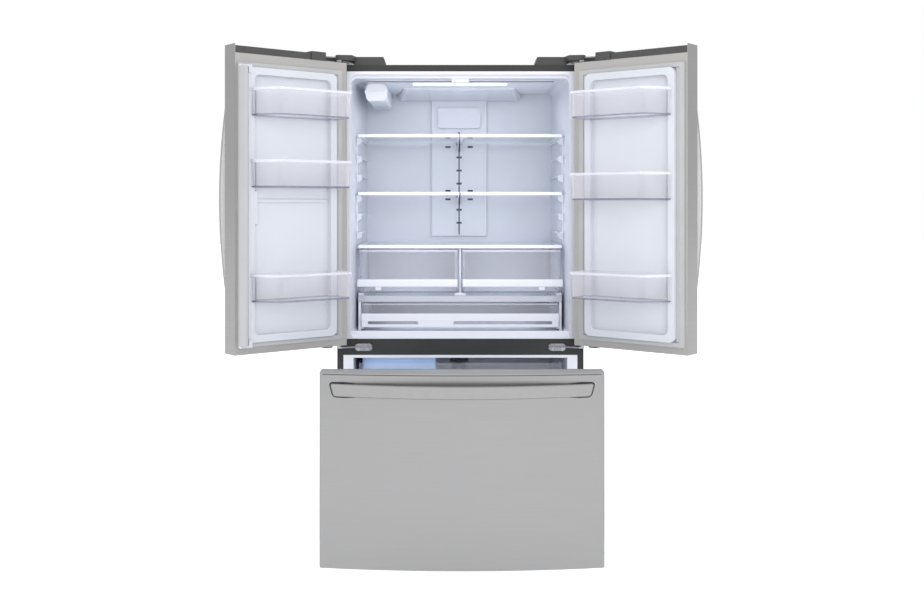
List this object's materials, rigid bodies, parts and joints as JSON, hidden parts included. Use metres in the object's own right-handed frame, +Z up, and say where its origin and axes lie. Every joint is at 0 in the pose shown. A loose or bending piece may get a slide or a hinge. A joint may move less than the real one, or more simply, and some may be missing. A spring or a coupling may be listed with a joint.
{
  "type": "french door refrigerator",
  "caption": "French door refrigerator with paired upper doors, door bins, glass shelves, crispers and a pull-out bottom freezer drawer.",
  "frame": {"origin": "on the floor, under the middle of the box that the open appliance fills", "axes": "+X to the right seen from the front, +Z up, the front faces -Y"},
  "size_m": [1.6996, 1.3719, 1.7685],
  "materials": {
    "case_paint": "satin",
    "dark_trim": "matte",
    "foam": "matte",
    "liner_white": "satin",
    "stainless": "satin",
    "handle_metal": "satin",
    "gasket_rubber": "matte",
    "clear_plastic": "gloss",
    "shelf_glass": "gloss",
    "trim_white": "satin",
    "zinc_steel": "satin",
    "light_lens": "gloss",
    "flipper_grey": "satin",
    "black_metal": "satin",
    "coil_aluminium": "satin",
    "copper_coil": "satin",
    "fan_plastic": "matte",
    "cap_grey": "satin"
  },
  "bodies": {
    "cabinet": {"cabinet_shell": "case_paint", "rear_covers": "case_paint", "insulation_foam": "foam", "fridge_liner": "liner_white", "freezer_liner": "liner_white", "front_rails": "case_paint", "hinge_covers": "dark_trim", "door_hinges": "zinc_steel", "hinge_screws": "zinc_steel", "ceiling_panel": "trim_white", "light_lens": "light_lens", "filter_housing": "trim_white", "air_duct_cover": "trim_white", "shelf_upper": "trim_white", "shelf_lower": "trim_white", "shelf_glass": "shelf_glass", "crisper_frame": "trim_white", "rails_fixed": "zinc_steel", "base_grille": "dark_trim", "base_frame": "black_metal", "compressor": "black_metal", "condenser_coil": "copper_coil", "evaporator": "coil_aluminium"},
    "left_door": {"left_door_skin": "stainless", "left_door_liner": "liner_white", "left_door_gasket": "gasket_rubber", "left_door_caps": "dark_trim", "left_door_handle": "handle_metal", "left_door_bins": "clear_plastic"},
    "right_door": {"right_door_skin": "stainless", "right_door_liner": "liner_white", "right_door_gasket": "gasket_rubber", "right_door_caps": "dark_trim", "right_door_handle": "handle_metal", "right_door_bins": "clear_plastic"},
    "flipper": {"flipper_bar": "flipper_grey"},
    "freezer_drawer": {"freezer_front_skin": "stainless", "freezer_front_liner": "liner_white", "freezer_front_gasket": "gasket_rubber", "freezer_front_caps": "cap_grey", "freezer_front_handle": "handle_metal", "freezer_basket": "trim_white", "rails_drawer": "zinc_steel"},
    "middle_rails": {"rails_middle": "zinc_steel"},
    "freezer_tray": {"freezer_tray": "clear_plastic", "ice_bin": "trim_white"},
    "crisper_left": {"crisper_left": "clear_plastic", "crisper_left_front": "trim_white"},
    "crisper_right": {"crisper_right": "clear_plastic", "crisper_right_front": "trim_white"},
    "humidity_slider_left": {"humidity_slider_left": "trim_white"},
    "humidity_slider_right": {"humidity_slider_right": "trim_white"},
    "pantry_drawer": {"pantry_drawer": "clear_plastic", "pantry_drawer_front": "trim_white"},
    "filter_cartridge": {"filter_cartridge": "trim_white"},
    "leveling_leg_left": {"leveling_leg_left": "dark_trim"},
    "leveling_leg_right": {"leveling_leg_right": "dark_trim"},
    "rear_rollers": {"rear_rollers": "dark_trim"},
    "condenser_fan": {"condenser_fan": "fan_plastic"},
    "evaporator_fan": {"evaporator_fan": "fan_plastic"}
  },
  "joints": [
    {"name": "left_door_hinge", "type": "hinge", "parent": "cabinet", "child": "left_door", "pos_m": [-0.4415, -0.089, 1.24], "axis": [0, 0, -1], "range_deg": [-141, 0]},
    {"name": "right_door_hinge", "type": "hinge", "parent": "cabinet", "child": "right_door", "pos_m": [0.4415, -0.089, 1.24], "axis": [0, 0, 1], "range_deg": [-141, 0]},
    {"name": "flipper_hinge", "type": "hinge", "parent": "left_door", "child": "flipper", "pos_m": [-0.74182, -0.39267, 1.2], "axis": [0, 0, 1], "range_deg": [-90, 0]},
    {"name": "freezer_drawer_slide", "type": "slide", "parent": "cabinet", "child": "freezer_drawer", "axis": [0, -1, 0], "range_m": [-0.467, 0]},
    {"name": "middle_rail_slide", "type": "slide", "parent": "cabinet", "child": "middle_rails", "axis": [0, -1, 0], "range_m": [-0.2335, 0]},
    {"name": "freezer_tray_slide", "type": "slide", "parent": "cabinet", "child": "freezer_tray", "axis": [0, -1, 0], "range_m": [0, 0.3]},
    {"name": "crisper_left_slide", "type": "slide", "parent": "cabinet", "child": "crisper_left", "axis": [0, -1, 0], "range_m": [0, 0.28]},
    {"name": "crisper_right_slide", "type": "slide", "parent": "cabinet", "child": "crisper_right", "axis": [0, -1, 0], "range_m": [0, 0.28]},
    {"name": "humidity_slide_left", "type": "slide", "parent": "crisper_left", "child": "humidity_slider_left", "axis": [1, 0, 0], "range_m": [0, 0.05]},
    {"name": "humidity_slide_right", "type": "slide", "parent": "crisper_right", "child": "humidity_slider_right", "axis": [-1, 0, 0], "range_m": [0, 0.05]},
    {"name": "pantry_slide", "type": "slide", "parent": "cabinet", "child": "pantry_drawer", "axis": [0, -1, 0], "range_m": [0, 0.32]},
    {"name": "filter_slide", "type": "slide", "parent": "cabinet", "child": "filter_cartridge", "axis": [0, -1, 0], "range_m": [0, 0.15]},
    {"name": "leveling_leg_left_turn", "type": "hinge", "parent": "cabinet", "child": "leveling_leg_left", "pos_m": [-0.4, 0.009, 0.03], "axis": [0, 0, 1], "continuous": true},
    {"name": "leveling_leg_right_turn", "type": "hinge", "parent": "cabinet", "child": "leveling_leg_right", "pos_m": [0.4, 0.009, 0.03], "axis": [0, 0, 1], "continuous": true},
    {"name": "rear_rollers_turn", "type": "hinge", "parent": "cabinet", "child": "rear_rollers", "pos_m": [0, 0.649, 0.02], "axis": [1, 0, 0], "continuous": true},
    {"name": "condenser_fan_spin", "type": "hinge", "parent": "cabinet", "child": "condenser_fan", "pos_m": [-0.05, 0.5525, 0.17], "axis": [1, 0, 0], "continuous": true},
    {"name": "evaporator_fan_spin", "type": "hinge", "parent": "cabinet", "child": "evaporator_fan", "pos_m": [0, 0.567, 0.56], "axis": [0, 1, 0], "continuous": true}
  ],
  "couplings": [
    {"joint": "flipper_hinge", "follows": "left_door_hinge", "ratio": 0.638},
    {"joint": "middle_rail_slide", "follows": "freezer_drawer_slide", "ratio": 0.5}
  ]
}
